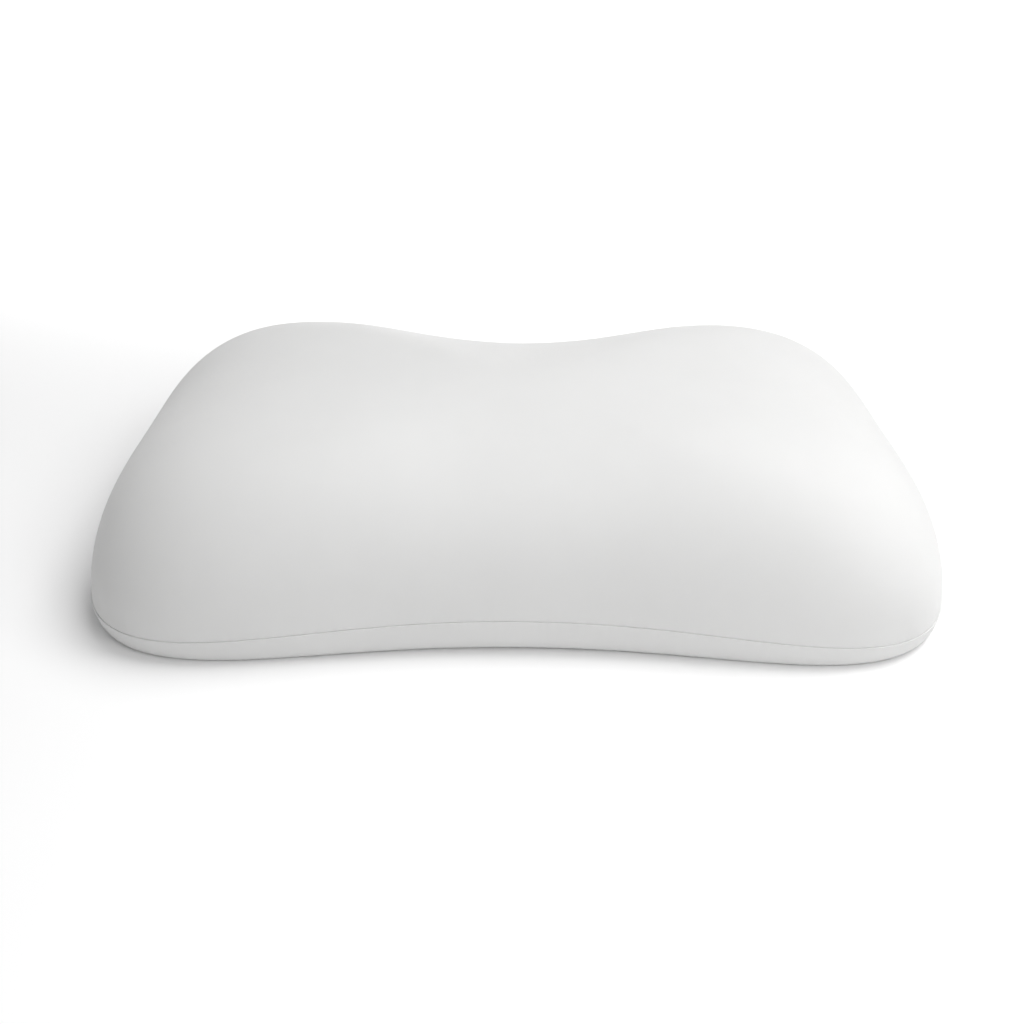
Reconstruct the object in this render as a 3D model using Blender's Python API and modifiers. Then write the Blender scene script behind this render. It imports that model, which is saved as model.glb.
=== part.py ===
"""Contoured cervical pillow: a filled body with a neck crest and a head cradle, over a thin base panel.

Metres, +Z up. The pillow lies on its base panel at z = 0. Its length runs along X, the sleeper's neck crosses
the front edge at -Y and the head lies towards +Y.
"""
import math
from collections import namedtuple

import bmesh
import bpy
from mathutils import Vector

# Plan outline, at the widest line
LENGTH = 0.592
DEPTH = 0.384
FRONT_CORNER = 4.5
REAR_CORNER = 3.8
REAR_NARROWING = 0.056
FRONT_WAIST = 0.033
REAR_WAIST = 0.033
FRONT_WAIST_SPREAD = 2.2
REAR_WAIST_SPREAD = 1.7

# How far in from the edge the crown starts to fall: a higher power keeps it up for longer
FRONT_FALL = 3.3
SIDE_FALL = 8.0
REAR_FALL = 2.6

# Lower edge and seam
WIDEST_HEIGHT = 0.014
UNDER_ROUND = 0.008
SEAM_HEIGHT_MIDDLE = 0.027
SEAM_HEIGHT_SIDE = 0.016
SEAM_DRAW_IN = 0.0008
SEAM_CHANNEL = 0.003

# Base panel and the room that it takes out of the body
PANEL_THICKNESS = 0.002
CLEARANCE = 0.0005

# Crown heights in millimetres at stations from the front edge (-1) to the rear edge (1): at the middle of the
# length, a third and two thirds of the way to the side, and at the side
Station = namedtuple("Station", "depth_share middle inner outer side")
CROWN = [
    Station(-1.00, 118, 118, 107, 88),
    Station(-0.67, 117, 124, 121, 103),
    Station(-0.33, 120, 125, 125, 114),
    Station(0.00, 124, 127, 121, 105),
    Station(0.33, 118, 122, 114, 91),
    Station(0.67, 117, 126, 123, 109),
    Station(1.00, 124, 128, 131, 132),
]

# Cage of the soft forms: cells along the length and the depth, drawn closer together towards the edge, and
# rings of the lower wall, from 0 where it leaves the surface, past 1 on the widest line, to 2 on the seam
CELLS_LONG = 16
CELLS_DEEP = 12
EDGE_CROWDING = 1.6
WALL_RINGS = (0, 0.35, 0.7, 1.1)
SEAM_RING = 2
SMOOTH_LEVELS = 1

SOFT_WHITE = (0.86, 0.86, 0.85, 1.0)
PANEL_WHITE = (0.82, 0.82, 0.81, 1.0)


def clear_scene():
    for item in list(bpy.data.objects):
        bpy.data.objects.remove(item, do_unlink=True)


def make_collection(name):
    collection = bpy.data.collections.new(name)
    bpy.context.scene.collection.children.link(collection)
    return collection


def cloth_material(name, colour, roughness):
    material = bpy.data.materials.new(name)
    material.use_nodes = True
    shader = material.node_tree.nodes["Principled BSDF"]
    shader.inputs["Base Color"].default_value = colour
    shader.inputs["Roughness"].default_value = roughness
    shader.inputs["Metallic"].default_value = 0.0
    return material


def signed_power(value, power):
    return math.copysign(abs(value) ** power, value)


def spline_weights(share, count):
    """Index of the first of four control values, and their weights, of an even cubic spline over 0 to 1."""
    place = min(max(share, 0.0), 1.0) * (count - 1)
    first = min(int(place), count - 2)
    f = place - first
    weights = (
        (1 - f) ** 3 / 6,
        (3 * f**3 - 6 * f**2 + 4) / 6,
        (-3 * f**3 + 3 * f**2 + 3 * f + 1) / 6,
        f**3 / 6,
    )
    return first, weights


def crown_row(station):
    """One station's heights, mirrored past the middle and carried past the side for the spline's ends."""
    past_side = 2 * station.side - station.outer
    return [station.inner, station.middle, station.inner, station.outer, station.side, past_side]


def crown_rows():
    rows = [crown_row(station) for station in CROWN]
    before = [2 * a - b for a, b in zip(rows[0], rows[1])]
    after = [2 * a - b for a, b in zip(rows[-1], rows[-2])]
    return [before] + rows + [after]


CROWN_ROWS = crown_rows()


def crown_height(x, y):
    """Height that the filling pushes the top panel to, before it falls away at the edge."""
    across, across_weights = spline_weights(abs(x) / (LENGTH / 2), len(Station._fields) - 1)
    along, along_weights = spline_weights(0.5 + y / DEPTH, len(CROWN))
    height = 0.0
    for row, row_weight in zip(CROWN_ROWS[along:along + 4], along_weights):
        for value, weight in zip(row[across:across + 4], across_weights):
            height += value * weight * row_weight
    return height / 1000


def outline(turn):
    """Widest line of the pillow in plan: a rounded oblong, waisted at the front and the rear."""
    cosine = math.cos(turn)
    sine = math.sin(turn)
    corner = FRONT_CORNER + (REAR_CORNER - FRONT_CORNER) * (0.5 + 0.5 * sine)
    x = LENGTH / 2 * signed_power(cosine, 2 / corner)
    y = DEPTH / 2 * signed_power(sine, 2 / corner)
    waist = FRONT_WAIST if y < 0 else REAR_WAIST
    spread = FRONT_WAIST_SPREAD if y < 0 else REAR_WAIST_SPREAD
    from_middle = min(abs(x) / (LENGTH / 2), 1.0)
    y *= 1 - waist / (DEPTH / 2) * (1 - from_middle**spread) ** 2
    x *= 1 - REAR_NARROWING * y / (DEPTH / 2)
    return Vector((x, y, 0))


def edge_fall(turn):
    """Power of the fall at this turn, between its side value and its front or rear value."""
    across = math.cos(turn) ** 2
    end_fall = FRONT_FALL if math.sin(turn) < 0 else REAR_FALL
    return SIDE_FALL * across + end_fall * (1 - across)


def seam_height(turn):
    from_middle = min(abs(outline(turn).x) / (LENGTH / 2), 1.0)
    rise = (1 - from_middle**2) ** 2
    return SEAM_HEIGHT_SIDE + (SEAM_HEIGHT_MIDDLE - SEAM_HEIGHT_SIDE) * rise


def top_place(turn, share):
    """Place on the top panel, a share of the way from the middle of the plan to the widest line."""
    place = outline(turn) * share
    fall = math.sqrt(max(1 - share ** edge_fall(turn), 0.0))
    place.z = WIDEST_HEIGHT + (crown_height(place.x, place.y) - WIDEST_HEIGHT) * fall
    return place


def share_at_height(turn, height):
    """Share of the way out at which the top panel comes down to this height."""
    near, far = 0.5, 1.0
    for _ in range(30):
        middle = (near + far) / 2
        if top_place(turn, middle).z > height:
            near = middle
        else:
            far = middle
    return (near + far) / 2


def wall_place(turn, ring):
    """Place on the lower wall, counted in rings from 0 where it leaves the surface to 2 on the seam."""
    if ring <= 1:
        angle = math.radians(90) * (1 - ring)
        rim = outline(turn)
        inset = UNDER_ROUND * (1 - math.cos(angle))
        place = rim * (1 - inset / rim.length)
        place.z = WIDEST_HEIGHT * (1 - math.sin(angle))
        return place
    height = WIDEST_HEIGHT + (seam_height(turn) - WIDEST_HEIGHT) * (ring - 1)
    return top_place(turn, share_at_height(turn, height))


def wall_inset(turn, ring, inset):
    """The same place moved into the body, square to the wall."""
    step = 0.01
    around = wall_place(turn + step, ring) - wall_place(turn - step, ring)
    lower = max(ring - step, 0.0)
    upward = wall_place(turn, lower + step) - wall_place(turn, lower)
    outward = around.cross(upward).normalized()
    return wall_place(turn, ring) - outward * inset


def edge_turn(across, along):
    """Turn around the outline of a place on the edge of the cage's square plan."""
    corner_share = 0.5 ** (2 / (FRONT_CORNER + REAR_CORNER))
    half_power = (FRONT_CORNER + REAR_CORNER) / 4
    if abs(along) >= abs(across):
        cosine = signed_power(across * corner_share, half_power)
        sine = math.copysign(math.sqrt(1 - cosine**2), along)
    else:
        sine = signed_power(along * corner_share, half_power)
        cosine = math.copysign(math.sqrt(1 - sine**2), across)
    return math.atan2(sine, cosine)


def crowded(cell, cells):
    """Cell line 0 to cells as a place from -1 to 1, with the lines closer together towards the edge."""
    plain = 2 * cell / cells - 1
    return math.copysign(1 - (1 - abs(plain)) ** EDGE_CROWDING, plain)


def box_cage(layers):
    """Cube cut into cells, and the cell lines (across, along, layer) that each of its vertices lies on."""
    counts = (CELLS_LONG, CELLS_DEEP, layers)
    bm = bmesh.new()
    bmesh.ops.create_cube(bm, size=2)
    for axis, count in enumerate(counts):
        normal = Vector((0, 0, 0))
        normal[axis] = 1
        for cut in range(1, count):
            geometry = bm.verts[:] + bm.edges[:] + bm.faces[:]
            place = normal * (2 * cut / count - 1)
            bmesh.ops.bisect_plane(bm, geom=geometry, plane_co=place, plane_no=normal)
    lines = {}
    for vertex in bm.verts:
        lines[vertex] = [round((vertex.co[axis] + 1) / 2 * count) for axis, count in enumerate(counts)]
    return bm, lines


def shape_cage(lines, wall_places, floor_place, roof_place):
    """Moves each vertex of the cage to its place on the soft form: its wall, or its floor or roof."""
    for vertex, line in lines.items():
        across = crowded(line[0], CELLS_LONG)
        along = crowded(line[1], CELLS_DEEP)
        if on_wall(line):
            vertex.co = wall_places[line[2]](edge_turn(across, along))
            continue
        share = max(abs(across), abs(along))
        turn = edge_turn(across / share, along / share) if share > 0 else 0.0
        vertex.co = floor_place(turn, share) if line[2] == 0 else roof_place(turn, share)


def crease_layers(bm, lines, layers):
    """Keeps the edges that run around the cage in these layers sharp when it is smoothed."""
    crease = bm.edges.layers.float.new("crease_edge")
    for edge in bm.edges:
        ends = [lines[vertex] for vertex in edge.verts]
        around = ends[0][2] == ends[1][2] and all(on_wall(end) for end in ends)
        if around and ends[0][2] in layers:
            edge[crease] = 1.0


def on_wall(line):
    return line[0] in (0, CELLS_LONG) or line[1] in (0, CELLS_DEEP)


def add_object(name, bm, material, collection):
    mesh = bpy.data.meshes.new(name)
    bm.to_mesh(mesh)
    bm.free()
    mesh.shade_smooth()
    mesh.materials.append(material)
    item = bpy.data.objects.new(name, mesh)
    collection.objects.link(item)
    smooth = item.modifiers.new("Smooth form", "SUBSURF")
    smooth.levels = SMOOTH_LEVELS
    smooth.render_levels = SMOOTH_LEVELS
    return item


def flat_floor(edge_place, height):
    """Level area inside the ring where the wall leaves the surface."""
    def place(turn, share):
        point = edge_place(turn) * share
        point.z = height
        return point
    return place


def make_pillow(collection):
    """Filled body: the crowned top panel down to the seam channel, then a recess for the base panel."""
    recess = PANEL_THICKNESS + CLEARANCE

    def recessed(ring):
        return lambda turn: wall_inset(turn, ring, recess)

    def seam_ledge(inset):
        def place(turn):
            point = wall_inset(turn, SEAM_RING, inset)
            point.z = seam_height(turn) + CLEARANCE
            return point
        return place

    def roof(turn, share):
        return top_place(turn, share * share_at_height(turn, seam_height(turn) + SEAM_CHANNEL))

    def roof_edge(turn):
        return roof(turn, 1)

    places = [recessed(ring) for ring in WALL_RINGS]
    places += [seam_ledge(recess), seam_ledge(SEAM_DRAW_IN), roof_edge]
    bm, lines = box_cage(len(places) - 1)
    shape_cage(lines, places, flat_floor(places[0], recess), roof)
    ledge_layers = (len(WALL_RINGS), len(WALL_RINGS) + 1)
    crease_layers(bm, lines, ledge_layers)
    add_object("pillow", bm, cloth_material("soft_cover", SOFT_WHITE, 0.85), collection)


def make_base_panel(collection):
    """Thin panel under the body, turned up around it to the seam."""
    places = [lambda turn, ring=ring: wall_place(turn, ring) for ring in WALL_RINGS + (SEAM_RING,)]
    bm, lines = box_cage(len(WALL_RINGS))
    floor = flat_floor(places[0], 0)
    shape_cage(lines, places, floor, floor)
    lip_layer = len(WALL_RINGS)
    crease_layers(bm, lines, (lip_layer,))
    open_top = [face for face in bm.faces if all(lines[vertex][2] == lip_layer for vertex in face.verts)]
    bmesh.ops.delete(bm, geom=open_top, context="FACES")
    item = add_object("base_panel", bm, cloth_material("base_cover", PANEL_WHITE, 0.9), collection)
    sheet = item.modifiers.new("Panel thickness", "SOLIDIFY")
    sheet.thickness = PANEL_THICKNESS
    sheet.offset = -1
    sheet.use_even_offset = True


def main():
    clear_scene()
    collection = make_collection("cervical_pillow")
    make_pillow(collection)
    make_base_panel(collection)


main()
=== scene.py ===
"""Looks of the contoured cervical pillow: knitted top cover, woven base cover, their seam and a studio.

Metres, +Z up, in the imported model's frame: the pillow lies on the floor at z = 0, its neck edge at -Y.
"""
import math
from collections import namedtuple

import bpy
import numpy as np
from mathutils import Matrix, Vector

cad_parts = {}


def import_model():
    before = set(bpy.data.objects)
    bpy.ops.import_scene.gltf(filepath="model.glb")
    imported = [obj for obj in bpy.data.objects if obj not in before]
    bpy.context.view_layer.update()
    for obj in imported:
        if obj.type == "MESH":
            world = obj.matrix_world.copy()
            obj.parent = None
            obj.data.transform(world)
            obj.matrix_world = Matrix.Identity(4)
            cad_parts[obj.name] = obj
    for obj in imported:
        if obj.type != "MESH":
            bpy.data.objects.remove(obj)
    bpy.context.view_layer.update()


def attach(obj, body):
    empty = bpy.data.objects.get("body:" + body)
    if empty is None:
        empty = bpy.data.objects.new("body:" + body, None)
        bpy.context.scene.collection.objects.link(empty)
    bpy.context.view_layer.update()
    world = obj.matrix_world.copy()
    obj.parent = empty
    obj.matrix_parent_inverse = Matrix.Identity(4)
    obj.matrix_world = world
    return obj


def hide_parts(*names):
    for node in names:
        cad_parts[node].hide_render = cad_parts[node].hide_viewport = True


# Plan outline, at the widest line
LENGTH = 0.592
DEPTH = 0.384
FRONT_CORNER = 4.5
REAR_CORNER = 3.8
REAR_NARROWING = 0.056
FRONT_WAIST = 0.033
REAR_WAIST = 0.033
FRONT_WAIST_SPREAD = 2.2
REAR_WAIST_SPREAD = 1.7

# How far in from the edge the crown starts to fall: a higher power keeps it up for longer
FRONT_FALL = 3.3
SIDE_FALL = 8.0
REAR_FALL = 2.6

# Lower edge, seam and base panel
WIDEST_HEIGHT = 0.014
UNDER_ROUND = 0.008
SEAM_HEIGHT_MIDDLE = 0.027
SEAM_HEIGHT_SIDE = 0.016
PANEL_THICKNESS = 0.002
CLEARANCE = 0.0005

# Crown heights in millimetres, from the front edge (-1) to the rear edge (1) and from the middle to the side
Station = namedtuple("Station", "depth_share middle inner outer side")
CROWN = [
    Station(-1.00, 118, 118, 107, 88),
    Station(-0.67, 117, 124, 121, 103),
    Station(-0.33, 120, 125, 125, 114),
    Station(0.00, 124, 127, 121, 105),
    Station(0.33, 118, 122, 114, 91),
    Station(0.67, 117, 126, 123, 109),
    Station(1.00, 124, 128, 131, 132),
]

# Rolled edge of the top cover and lip of the base cover, in millimetres above the seam and into the body
Fold = namedtuple("Fold", "above inset")
TOP_ROLL = [
    Fold(2.0, 0.00),
    Fold(1.0, 0.01),
    Fold(0.5, 0.02),
    Fold(0.25, 0.05),
    Fold(0.10, 0.14),
    Fold(0.03, 0.5),
]
BASE_LIP = [
    Fold(-0.3, 2.00),
    Fold(-0.03, 1.30),
    Fold(-0.03, 0.50),
    Fold(-0.03, 0.00),
    Fold(-0.10, -0.38),
    Fold(-0.35, -0.58),
    Fold(-0.9, -0.62),
    Fold(-2.0, -0.45),
    Fold(-3.8, -0.15),
    Fold(-6.0, 0.00),
]

# Rings of the turned-up base cover, as shares of the height of its plain wall
WALL_SHARES = (0.12, 0.3, 0.55, 0.8)

# Slow swells of the top cover, full from this height above the floor
SWELL = 0.00022
SWELL_FULL_HEIGHT = 0.05

# Mesh cells of the covers along the length and the depth, drawn closer together towards the edge
CELLS_LONG = 96
CELLS_DEEP = 72
EDGE_CROWDING = 1.35

# Stitches that hold the two covers together, deep in the seam
STITCH_PITCH = 0.0030
STITCH_RADIUS = 0.00015
STITCH_REACH = 0.0005
STITCH_SLANT = 0.0004
STITCH_DEPTH = 0.0005

# Knit of the top cover, weave of the base cover and gathers at the seam
KNIT_WALE = 0.0006
KNIT_COURSE = 0.00045
WEAVE_PITCH = 0.0005
PUCKER_PITCH = 0.0085
PUCKER_REACH = 0.006
PUCKER_WANDER = 9.0

# Depths of the bumps and sizes of the slow variations in the cloth
KNIT_DEPTH = 0.00005
WEAVE_DEPTH = 0.00004
PUCKER_DEPTH = 0.00009
FUZZ_DEPTH = 0.00003
FUZZ_SIZE = 0.0004
SHADE_SIZE = 0.05
GLOSS_SIZE = 0.015
GLOSS_RANGE = 0.05

# Colours of the cloth, thread and floor
CLOTH_COLOUR = (0.73, 0.73, 0.725)
THREAD_COLOUR = (0.82, 0.82, 0.80)
FLOOR_COLOUR = (0.95, 0.95, 0.95, 1)

# Floor, a little below the pillow, and the light from all round
FLOOR_HALF = 6.0
FLOOR_DROP = 0.0002
SKY_STRENGTH = 0.36

# Camera at the photograph's viewing angle
CAMERA_TARGET = Vector((-0.0036, 0.0, 0.0105))
CAMERA_DISTANCE = 1.2044
CAMERA_ELEVATION = 33.59
CAMERA_TURN = -0.59
CAMERA_ROLL = 0.856
CAMERA_LENS = 55.55
SENSOR_WIDTH = 36.0


def signed_power(value, power):
    return np.sign(value) * np.abs(value) ** power


def spline_weights(share, count):
    """Index of the first of four control values, and their weights, of an even cubic spline over 0 to 1."""
    place = np.clip(share, 0, 1) * (count - 1)
    first = np.minimum(place.astype(int), count - 2)
    f = place - first
    weights = (
        (1 - f) ** 3 / 6,
        (3 * f**3 - 6 * f**2 + 4) / 6,
        (-3 * f**3 + 3 * f**2 + 3 * f + 1) / 6,
        f**3 / 6,
    )
    return first, weights


def crown_table():
    """Crown heights, mirrored past the middle and carried on past the side, front and rear."""
    rows = [[s.inner, s.middle, s.inner, s.outer, s.side, 2 * s.side - s.outer] for s in CROWN]
    table = np.array(rows, float) / 1000
    return np.vstack([2 * table[0] - table[1], table, 2 * table[-1] - table[-2]])


CROWN_TABLE = crown_table()


def crown_height(x, y):
    """Height that the filling pushes the top panel to, before it falls away at the edge."""
    across, across_weights = spline_weights(np.abs(x) / (LENGTH / 2), len(Station._fields) - 1)
    along, along_weights = spline_weights(0.5 + y / DEPTH, len(CROWN))
    height = np.zeros_like(x)
    for row, row_weight in enumerate(along_weights):
        for column, weight in enumerate(across_weights):
            height += CROWN_TABLE[along + row, across + column] * weight * row_weight
    return height


def outline(turn):
    """Widest line of the pillow in plan: a rounded oblong, waisted at the front and the rear."""
    cosine = np.cos(turn)
    sine = np.sin(turn)
    corner = FRONT_CORNER + (REAR_CORNER - FRONT_CORNER) * (0.5 + 0.5 * sine)
    x = LENGTH / 2 * signed_power(cosine, 2 / corner)
    y = DEPTH / 2 * signed_power(sine, 2 / corner)
    waist = np.where(y < 0, FRONT_WAIST, REAR_WAIST)
    spread = np.where(y < 0, FRONT_WAIST_SPREAD, REAR_WAIST_SPREAD)
    from_middle = np.minimum(np.abs(x) / (LENGTH / 2), 1)
    y = y * (1 - waist / (DEPTH / 2) * (1 - from_middle**spread) ** 2)
    x = x * (1 - REAR_NARROWING * y / (DEPTH / 2))
    return x, y


def edge_fall(turn):
    """Power of the fall at this turn, between its side value and its front or rear value."""
    across = np.cos(turn) ** 2
    end_fall = np.where(np.sin(turn) < 0, FRONT_FALL, REAR_FALL)
    return SIDE_FALL * across + end_fall * (1 - across)


def seam_height(turn):
    from_middle = np.minimum(np.abs(outline(turn)[0]) / (LENGTH / 2), 1)
    rise = (1 - from_middle**2) ** 2
    return SEAM_HEIGHT_SIDE + (SEAM_HEIGHT_MIDDLE - SEAM_HEIGHT_SIDE) * rise


def top_place(turn, share):
    """Place on the top panel, a share of the way from the middle of the plan to the widest line."""
    x, y = outline(turn)
    x = x * share
    y = y * share
    fall = np.sqrt(np.maximum(1 - share ** edge_fall(turn), 0))
    z = WIDEST_HEIGHT + (crown_height(x, y) - WIDEST_HEIGHT) * fall
    return np.stack([x, y, z], -1)


def share_at_height(turn, height):
    """Share of the way out at which the top panel comes down to this height."""
    near = np.full_like(turn, 0.5)
    far = np.ones_like(turn)
    for _ in range(30):
        middle = (near + far) / 2
        above = top_place(turn, middle)[..., 2] > height
        near = np.where(above, middle, near)
        far = np.where(above, far, middle)
    return (near + far) / 2


def wall_place(turn, height):
    """Place on the skin at this height above the surface, below the crown."""
    x, y = outline(turn)
    angle = np.arcsin(np.clip(1 - height / WIDEST_HEIGHT, 0, 1))
    inset = UNDER_ROUND * (1 - np.cos(angle))
    share = 1 - inset / np.hypot(x, y)
    under = np.stack([x * share, y * share, height + 0 * turn], -1)
    over = top_place(turn, share_at_height(turn, height))
    return np.where((height > WIDEST_HEIGHT)[..., None], over, under)


def wall_inset(turn, height, inset):
    """The same place moved into the body, square to the wall."""
    step = 0.004
    rise = 0.0002
    around = wall_place(turn + step, height) - wall_place(turn - step, height)
    low = np.maximum(height - rise, 0)
    upward = wall_place(turn, low + 2 * rise) - wall_place(turn, low)
    outward = np.cross(around, upward)
    outward /= np.linalg.norm(outward, axis=-1)[..., None]
    return wall_place(turn, height) - outward * inset


def edge_turn(across, along):
    """Turn around the outline of a place on the edge of the mesh's square plan."""
    corner_share = 0.5 ** (2 / (FRONT_CORNER + REAR_CORNER))
    half_power = (FRONT_CORNER + REAR_CORNER) / 4
    on_end = np.abs(along) >= np.abs(across)
    minor = signed_power(np.where(on_end, across, along) * corner_share, half_power)
    major = np.sqrt(1 - minor**2)
    cosine = np.where(on_end, minor, major * np.sign(across))
    sine = np.where(on_end, major * np.sign(along), minor)
    return np.arctan2(sine, cosine)


def crowded_lines(cells):
    """Cell lines from -1 to 1, closer together towards the edge."""
    plain = np.linspace(-1, 1, cells + 1)
    return np.sign(plain) * (1 - (1 - np.abs(plain)) ** EDGE_CROWDING)


def plan_grid():
    """Turn and share of every crossing of the mesh lines in plan."""
    across, along = np.meshgrid(crowded_lines(CELLS_LONG), crowded_lines(CELLS_DEEP), indexing="ij")
    share = np.maximum(np.abs(across), np.abs(along))
    safe = np.maximum(share, 1e-9)
    turn = edge_turn(across / safe, along / safe)
    return turn, share


def edge_loop():
    """Rows and columns of the plan grid's edge, once around."""
    rows = []
    columns = []
    for i in range(CELLS_LONG):
        rows.append(i)
        columns.append(0)
    for j in range(CELLS_DEEP):
        rows.append(CELLS_LONG)
        columns.append(j)
    for i in range(CELLS_LONG, 0, -1):
        rows.append(i)
        columns.append(CELLS_DEEP)
    for j in range(CELLS_DEEP, 0, -1):
        rows.append(0)
        columns.append(j)
    return np.array(rows), np.array(columns)


def laid_flat(places):
    """Distances over a grid's surface from its two middle lines, as if the cloth were laid out flat."""
    spans = []
    for axis in (0, 1):
        steps = np.linalg.norm(np.diff(places, axis=axis), axis=2)
        reach = np.insert(np.cumsum(steps, axis=axis), 0, 0, axis=axis)
        middle = np.take(reach, [places.shape[axis] // 2], axis=axis)
        spans.append(reach - middle)
    return np.stack(spans, -1)


class Shell:
    """Vertices, cloth coordinates and faces of a form made of two level grids and of rings between them."""

    def __init__(self):
        self.places = np.zeros((0, 3))
        self.flat = np.zeros((0, 2))
        self.turns = np.zeros(0)
        self.faces = []

    def add(self, places, flat, turns):
        start = len(self.places)
        self.places = np.vstack([self.places, places])
        self.flat = np.vstack([self.flat, flat])
        self.turns = np.concatenate([self.turns, turns])
        return np.arange(start, len(self.places))

    def add_grid(self, places, turn, upward):
        rows, columns = places.shape[:2]
        index = self.add(places.reshape(-1, 3), laid_flat(places).reshape(-1, 2), turn.ravel())
        index = index.reshape(rows, columns)
        corners = np.stack([index[:-1, :-1], index[1:, :-1], index[1:, 1:], index[:-1, 1:]], -1)
        corners = corners.reshape(-1, 4)
        self.faces.extend((corners if upward else corners[:, ::-1]).tolist())
        return index[edge_loop()]

    def add_ring(self, places, inner, turns):
        """Ring outside another, its cloth coordinates carried on outward from that one's."""
        step = np.linalg.norm(places - self.places[inner], axis=1)[:, None]
        outward = np.stack([np.cos(turns), np.sin(turns)], 1)
        return self.add(places, self.flat[inner] + outward * step, turns)

    def join(self, loops):
        for lower, upper in zip(loops, loops[1:]):
            quads = np.stack([lower, np.roll(lower, -1), np.roll(upper, -1), upper], 1)
            self.faces.extend(quads.tolist())

    def make(self, name):
        mesh = bpy.data.meshes.new(name)
        mesh.from_pydata(self.places.tolist(), [], self.faces)
        mesh.shade_smooth()
        corners = np.array(self.faces).ravel()
        seam = self.seam_coordinates()[corners].reshape(-1, 4, 2)
        total = SEAM_RUN[-1]
        wrapped = np.ptp(seam[..., 0], axis=1) > total / 2
        seam[wrapped, :, 0] += total * (seam[wrapped, :, 0] < total / 2)
        for layer, values in (("cloth", self.flat[corners]), ("seam", seam.reshape(-1, 2))):
            mesh.uv_layers.new(name=layer).data.foreach_set("uv", values.astype(np.float32).ravel())
        item = bpy.data.objects.new(name, mesh)
        bpy.context.scene.collection.objects.link(item)
        return item

    def seam_coordinates(self):
        """Run along the seam and distance from it."""
        seam_places = wall_place(self.turns, seam_height(self.turns))
        away = np.linalg.norm(self.places - seam_places, axis=1)
        return np.stack([np.interp(self.turns, SEAM_TURNS, SEAM_RUN), away], 1)


def seam_table():
    """Turns around the seam and the run along it to each."""
    turns = np.linspace(-np.pi, np.pi, 4001)
    path = wall_place(turns, seam_height(turns))
    run = np.insert(np.cumsum(np.linalg.norm(np.diff(path, axis=0), axis=1)), 0, 0)
    return turns, run


SEAM_TURNS, SEAM_RUN = seam_table()


def soft_unevenness(places):
    """Slow swells of up to 0.6 mm, as in foam under cloth, and none where it touches the floor."""
    x, y, z = places[..., 0], places[..., 1], places[..., 2]
    swell = np.sin(31 * x + 17 * y + 1.3) + np.sin(-23 * x + 38 * y + 0.4)
    swell += 0.6 * np.sin(57 * x - 29 * y + 44 * z)
    return SWELL * swell * np.clip(z / SWELL_FULL_HEIGHT, 0, 1)


def roll_ring(turn, fold):
    """Ring of the seam's cross-section."""
    height = seam_height(turn) + fold.above / 1000
    return wall_inset(turn, height, fold.inset / 1000)


def level_floor(edge_places, share, turn, edge_turns, height):
    """Level grid whose edge is the given ring."""
    order = np.argsort(edge_turns)
    ordered = edge_turns[order]
    around = np.concatenate([ordered - 2 * np.pi, ordered, ordered + 2 * np.pi])
    x = np.interp(turn, around, np.tile(edge_places[order, 0], 3)) * share
    y = np.interp(turn, around, np.tile(edge_places[order, 1], 3)) * share
    return np.stack([x, y, np.full_like(x, height)], -1)


def make_top_cover():
    """Filled top cover: the crowned panel, its edge rolled into the seam, and its hidden underside."""
    shell = Shell()
    turn, share = plan_grid()
    turns = turn[edge_loop()]
    level = 0 * turns
    recess = PANEL_THICKNESS + CLEARANCE
    roof = top_place(turn, share * share_at_height(turn, seam_height(turn) + TOP_ROLL[0].above / 1000))
    roof[..., 2] += soft_unevenness(roof)
    rings = [roll_ring(turns, fold) for fold in TOP_ROLL[1:]]
    rings.append(roll_ring(turns, Fold(-0.2, recess * 1000)))
    rings.append(wall_inset(turns, level + WIDEST_HEIGHT, recess))
    rings.append(wall_inset(turns, level + WIDEST_HEIGHT * 0.3, recess))
    lowest = wall_inset(turns, level, recess)
    loops = [shell.add_grid(roof, turn, upward=True)]
    for ring in rings:
        loops.append(shell.add_ring(ring, loops[-1], turns))
    loops.append(shell.add_grid(level_floor(lowest, share, turn, turns, recess), turn, upward=False))
    shell.join(loops[::-1])
    return shell.make("top_cover")


def make_base_cover():
    """Base cover: a sheet under the pillow, turned up around it and folded over in a lip at the seam."""
    shell = Shell()
    turn, share = plan_grid()
    turns = turn[edge_loop()]
    level = 0 * turns
    wall_top = seam_height(turns) + BASE_LIP[-1].above / 1000
    wall_heights = [wall_top * part for part in WALL_SHARES]
    rings = [wall_inset(turns, height, 0) for height in wall_heights]
    rings += [roll_ring(turns, fold) for fold in BASE_LIP[::-1]]
    rings += [wall_inset(turns, height, PANEL_THICKNESS) for height in wall_heights[::-1]]
    outer = wall_inset(turns, level, 0)
    inner = wall_inset(turns, level, PANEL_THICKNESS)
    loops = [shell.add_grid(level_floor(outer, share, turn, turns, 0), turn, upward=False)]
    for ring in rings:
        loops.append(shell.add_ring(ring, loops[-1], turns))
    loops.append(shell.add_grid(level_floor(inner, share, turn, turns, PANEL_THICKNESS), turn, upward=True))
    shell.join(loops)
    return shell.make("base_cover")


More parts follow.
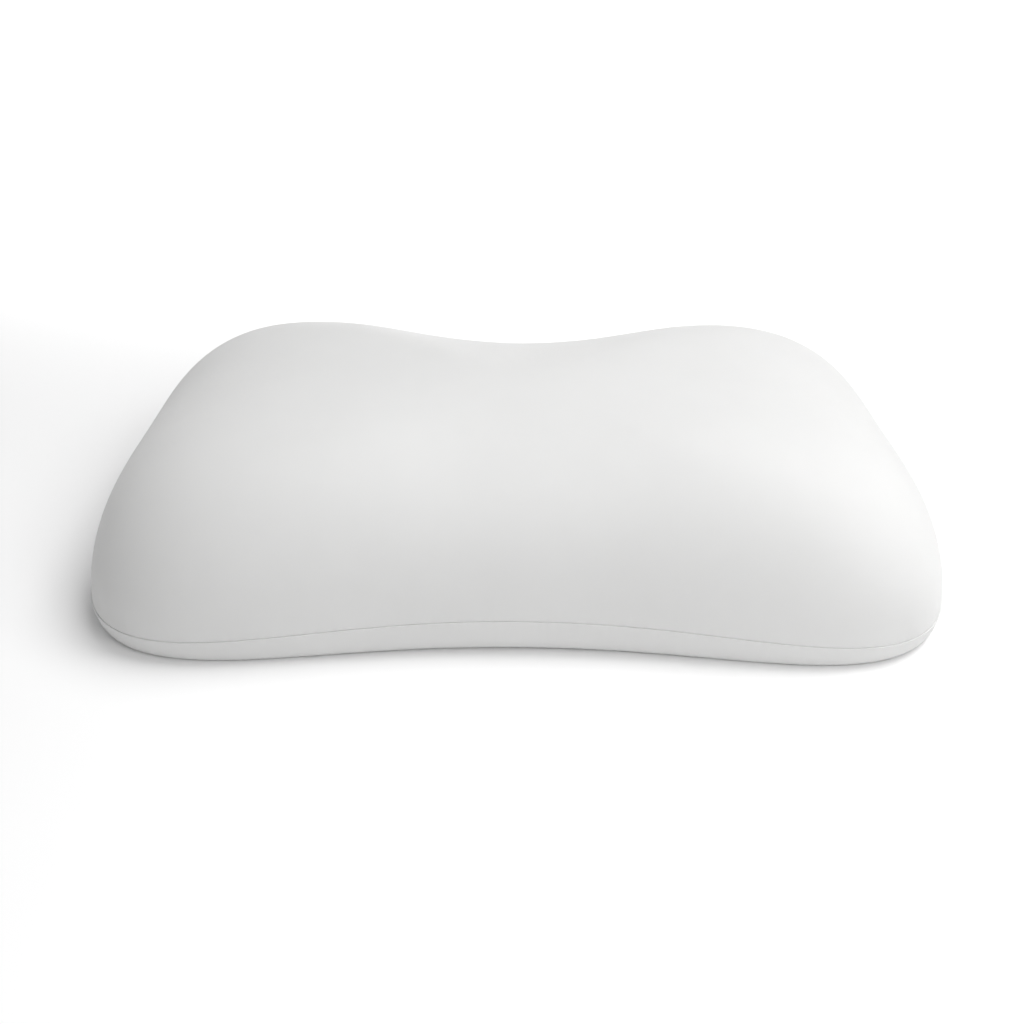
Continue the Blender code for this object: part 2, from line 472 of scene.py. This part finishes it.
def make_stitches():
    """Slanted stitches across the bottom of the seam, one short thread each."""
    count = int(SEAM_RUN[-1] / STITCH_PITCH)
    turns = np.interp(np.arange(count) * SEAM_RUN[-1] / count, SEAM_RUN, SEAM_TURNS)
    heights = seam_height(turns)
    low = wall_inset(turns, heights - STITCH_REACH, STITCH_DEPTH)
    high = wall_inset(turns, heights + STITCH_REACH, STITCH_DEPTH)
    ahead = wall_place(turns + 0.002, heights) - wall_place(turns - 0.002, heights)
    ahead /= np.linalg.norm(ahead, axis=1)[:, None]
    curve = bpy.data.curves.new("seam_stitches", "CURVE")
    curve.dimensions = "3D"
    curve.bevel_depth = STITCH_RADIUS
    curve.bevel_resolution = 1
    curve.use_fill_caps = True
    for start, end in zip(low - ahead * STITCH_SLANT, high + ahead * STITCH_SLANT):
        spline = curve.splines.new("POLY")
        spline.points.add(1)
        spline.points[0].co = (*start, 1)
        spline.points[1].co = (*end, 1)
    item = bpy.data.objects.new("seam_stitches", curve)
    bpy.context.scene.collection.objects.link(item)
    return item


class Cloth:
    """Principled cloth material with small helpers that add its nodes."""

    def __init__(self, name, colour, roughness, sheen):
        self.material = bpy.data.materials.new(name)
        self.material.use_nodes = True
        self.nodes = self.material.node_tree.nodes
        self.links = self.material.node_tree.links
        self.shader = self.nodes["Principled BSDF"]
        self.colour = colour
        self.roughness = roughness
        self.shader.inputs["Sheen Weight"].default_value = sheen
        self.shader.inputs["Sheen Roughness"].default_value = 0.55
        self.shader.inputs["Specular IOR Level"].default_value = 0.25

    def plug(self, socket, value):
        if isinstance(value, bpy.types.NodeSocket):
            self.links.new(value, socket)
        else:
            socket.default_value = value

    def math(self, operation, first, second=0.0):
        node = self.nodes.new("ShaderNodeMath")
        node.operation = operation
        self.plug(node.inputs[0], first)
        self.plug(node.inputs[1], second)
        return node.outputs[0]

    def uv(self, layer):
        node = self.nodes.new("ShaderNodeUVMap")
        node.uv_map = layer
        split = self.nodes.new("ShaderNodeSeparateXYZ")
        self.links.new(node.outputs["UV"], split.inputs[0])
        return split.outputs["X"], split.outputs["Y"]

    def noise(self, size, detail=2.0):
        place = self.nodes.new("ShaderNodeTexCoord")
        node = self.nodes.new("ShaderNodeTexNoise")
        node.inputs["Scale"].default_value = 1 / size
        node.inputs["Detail"].default_value = detail
        self.links.new(place.outputs["Object"], node.inputs["Vector"])
        return node.outputs["Fac"]

    def spread(self, value, low, high):
        node = self.nodes.new("ShaderNodeMapRange")
        node.inputs["From Min"].default_value = 0.3
        node.inputs["From Max"].default_value = 0.7
        node.inputs["To Min"].default_value = low
        node.inputs["To Max"].default_value = high
        self.links.new(value, node.inputs["Value"])
        return node.outputs["Result"]

    def tint(self, value):
        """Base colour lightened or darkened by a slow value around 1."""
        node = self.nodes.new("ShaderNodeVectorMath")
        node.operation = "SCALE"
        node.inputs[0].default_value = self.colour
        self.links.new(value, node.inputs["Scale"])
        self.links.new(node.outputs["Vector"], self.shader.inputs["Base Color"])

    def bump(self, height, distance, under=None):
        node = self.nodes.new("ShaderNodeBump")
        node.inputs["Distance"].default_value = distance
        self.links.new(height, node.inputs["Height"])
        if under is not None:
            self.links.new(under, node.inputs["Normal"])
        return node.outputs["Normal"]


def knit_height(cloth, u, v):
    """Columns of V-shaped stitches: 0 in the gaps and 1 on the thread."""
    wale = cloth.math("DIVIDE", u, KNIT_WALE)
    course = cloth.math("DIVIDE", v, KNIT_COURSE)
    column = cloth.math("ABSOLUTE", cloth.math("SINE", cloth.math("MULTIPLY", wale, math.pi)))
    slant = cloth.math("MULTIPLY", cloth.math("PINGPONG", wale, 0.5), 1.5)
    phase = cloth.math("MULTIPLY", cloth.math("ADD", course, slant), 2 * math.pi)
    leg = cloth.math("MULTIPLY_ADD", cloth.math("COSINE", phase), 0.3)
    leg.node.inputs[2].default_value = 0.7
    return cloth.math("MULTIPLY", column, leg)


def weave_height(cloth, u, v):
    """Plain weave: threads of the two directions pass over each other in turn."""
    across = cloth.math("SINE", cloth.math("MULTIPLY", u, math.pi / WEAVE_PITCH))
    along = cloth.math("SINE", cloth.math("MULTIPLY", v, math.pi / WEAVE_PITCH))
    return cloth.math("MULTIPLY", across, along)


def pucker_height(cloth):
    """Small gathers that run out of the seam and die away."""
    run, away = cloth.uv("seam")
    wander = cloth.math("MULTIPLY", cloth.noise(0.02), PUCKER_WANDER)
    waves = round(float(SEAM_RUN[-1]) / PUCKER_PITCH)
    phase = cloth.math("ADD", cloth.math("MULTIPLY", run, 2 * math.pi * waves / float(SEAM_RUN[-1])), wander)
    wave = cloth.math("SINE", phase)
    nearness = cloth.math("EXPONENT", cloth.math("MULTIPLY", away, -1 / PUCKER_REACH))
    return cloth.math("MULTIPLY", wave, nearness)


def finish_cloth(cloth, thread_height, thread_depth):
    fuzz = cloth.bump(cloth.noise(FUZZ_SIZE, 3.0), FUZZ_DEPTH)
    threads = cloth.bump(thread_height, thread_depth, fuzz)
    gathered = cloth.bump(pucker_height(cloth), PUCKER_DEPTH, threads)
    cloth.links.new(gathered, cloth.shader.inputs["Normal"])
    cloth.tint(cloth.spread(cloth.noise(SHADE_SIZE), 0.992, 1.006))
    gloss = cloth.noise(GLOSS_SIZE)
    rough = cloth.spread(gloss, cloth.roughness - GLOSS_RANGE, cloth.roughness + GLOSS_RANGE)
    cloth.links.new(rough, cloth.shader.inputs["Roughness"])
    return cloth.material


def top_material():
    cloth = Cloth("top_cover", CLOTH_COLOUR, 0.82, 0.2)
    u, v = cloth.uv("cloth")
    return finish_cloth(cloth, knit_height(cloth, u, v), KNIT_DEPTH)


def base_material():
    cloth = Cloth("base_cover", CLOTH_COLOUR, 0.88, 0.15)
    u, v = cloth.uv("cloth")
    return finish_cloth(cloth, weave_height(cloth, u, v), WEAVE_DEPTH)


def thread_material():
    cloth = Cloth("seam_thread", THREAD_COLOUR, 0.6, 0.1)
    cloth.tint(cloth.spread(cloth.noise(0.004), 0.96, 1.02))
    cloth.links.new(cloth.bump(cloth.noise(0.0003), FUZZ_DEPTH), cloth.shader.inputs["Normal"])
    cloth.shader.inputs["Roughness"].default_value = cloth.roughness
    return cloth.material


def smooth_form(item):
    modifier = item.modifiers.new("Smooth cloth", "SUBSURF")
    modifier.levels = 1
    modifier.render_levels = 1


def make_floor():
    mesh = bpy.data.meshes.new("floor")
    corners = [(x * FLOOR_HALF, y * FLOOR_HALF, 0) for x, y in ((-1, -1), (1, -1), (1, 1), (-1, 1))]
    mesh.from_pydata(corners, [], [(0, 1, 2, 3)])
    floor = bpy.data.objects.new("floor", mesh)
    floor.location.z = -FLOOR_DROP
    material = bpy.data.materials.new("floor_paper")
    material.use_nodes = True
    shader = material.node_tree.nodes["Principled BSDF"]
    shader.inputs["Base Color"].default_value = FLOOR_COLOUR
    shader.inputs["Roughness"].default_value = 0.9
    shader.inputs["Specular IOR Level"].default_value = 0.1
    mesh.materials.append(material)
    bpy.context.scene.collection.objects.link(floor)


def add_light(kind, name, place, aim, power):
    light = bpy.data.lights.new(name, kind)
    light.energy = power
    item = bpy.data.objects.new(name, light)
    item.location = place
    item.rotation_euler = (Vector(place) - Vector(aim)).to_track_quat("Z", "Y").to_euler()
    bpy.context.scene.collection.objects.link(item)
    return light


def add_soft_box(name, place, aim, size, power):
    light = add_light("AREA", name, place, aim, power)
    light.shape = "DISK"
    light.size = size
    return light


def add_far_light(name, azimuth, elevation, spread, power):
    """Light from far away, its strength as it falls square on a surface."""
    turn = math.radians(azimuth)
    rise = math.radians(elevation)
    place = (math.cos(turn) * math.cos(rise), math.sin(turn) * math.cos(rise), math.sin(rise))
    light = add_light("SUN", name, place, (0, 0, 0), power * math.pi)
    light.angle = math.radians(spread)


def make_studio():
    make_floor()
    world = bpy.data.worlds.new("studio")
    world.use_nodes = True
    sky = world.node_tree.nodes["Background"]
    sky.inputs["Color"].default_value = (1, 1, 1, 1)
    sky.inputs["Strength"].default_value = SKY_STRENGTH
    bpy.context.scene.world = world
    middle = (0, 0, 0.05)
    add_far_light("window", 40, 61, 40, 0.48)
    add_soft_box("side_box", (0.6, -0.1, 0.9), middle, 0.6, 2.7)
    add_soft_box("front_box", (0.5, -0.9, 0.9), middle, 0.8, 4.5)
    backdrop = add_soft_box("backdrop_box", (0, 1.9, 1.3), (0, 1.9, 0), 1.6, 110.0)
    backdrop.spread = math.radians(80)
    bpy.context.scene.view_settings.view_transform = "Standard"


def make_camera():
    elevation = math.radians(CAMERA_ELEVATION)
    turn = math.radians(CAMERA_TURN)
    level = math.cos(elevation)
    back = Vector((math.sin(turn) * level, -math.cos(turn) * level, math.sin(elevation)))
    right = Vector((math.cos(turn), math.sin(turn), 0))
    up = back.cross(right)
    roll = math.radians(CAMERA_ROLL)
    rolled_right = right * math.cos(roll) + up * math.sin(roll)
    rolled_up = back.cross(rolled_right)
    data = bpy.data.cameras.new("camera")
    data.lens = CAMERA_LENS
    data.sensor_width = SENSOR_WIDTH
    camera = bpy.data.objects.new("camera", data)
    axes = Matrix((rolled_right, rolled_up, back)).transposed()
    camera.matrix_world = Matrix.Translation(CAMERA_TARGET + back * CAMERA_DISTANCE) @ axes.to_4x4()
    bpy.context.scene.collection.objects.link(camera)
    bpy.context.scene.camera = camera


def main():
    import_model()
    make_camera()
    make_studio()
    top = make_top_cover()
    base = make_base_cover()
    stitches = make_stitches()
    for item, material in ((top, top_material()), (base, base_material())):
        smooth_form(item)
        item.data.materials.append(material)
    stitches.data.materials.append(thread_material())
    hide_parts("pillow")
    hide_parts("base_panel")
    for item in (top, base, stitches):
        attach(item, "root")
    bpy.context.view_layer.update()


main()
